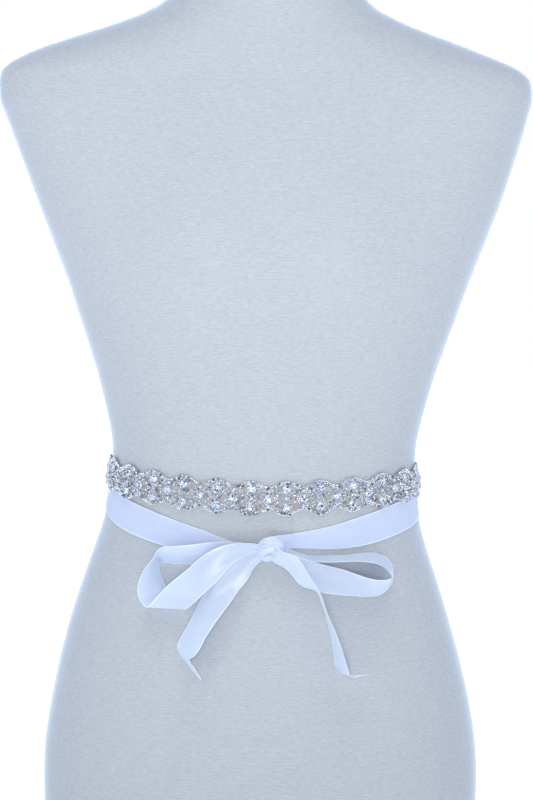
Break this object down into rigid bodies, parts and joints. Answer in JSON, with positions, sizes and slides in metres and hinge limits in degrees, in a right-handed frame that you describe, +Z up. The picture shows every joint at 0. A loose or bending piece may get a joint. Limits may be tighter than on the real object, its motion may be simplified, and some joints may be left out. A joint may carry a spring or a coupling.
{
  "type": "rhinestone belt on a dress form",
  "caption": "Jewelled bridal belt with a scalloped rhinestone band and white satin ribbon ties, worn on a limbless dress form and tied in a bow at the front.",
  "frame": {"origin": "on the form's flat base, under the middle of the neck and 5.5 mm to the right of the base's own middle", "axes": "+Z up along the form, -Y towards the front where the bow is tied, +X to the right as seen from the front"},
  "size_m": [0.4209, 0.2496, 0.82],
  "materials": {
    "form_jersey": "matt pale blue-white knit jersey stretched over the form, with fine level ribs",
    "rhinestone_trim": "clear faceted stones in silver cups and silver seed beads on a sheer grey net",
    "satin_ribbon": "single-faced white satin with a soft sheen and woven edges"
  },
  "bodies": {
    "root": {"dress_form": "form_jersey", "rhinestone_band": "rhinestone_trim", "ribbon_back_left": "satin_ribbon", "ribbon_back_right": "satin_ribbon", "ribbon_wrap_left": "satin_ribbon", "ribbon_wrap_right": "satin_ribbon", "bow_knot": "satin_ribbon", "loop_left": "satin_ribbon", "loop_right": "satin_ribbon", "tail_left": "satin_ribbon", "tail_right": "satin_ribbon"}
  },
  "joints": []
}
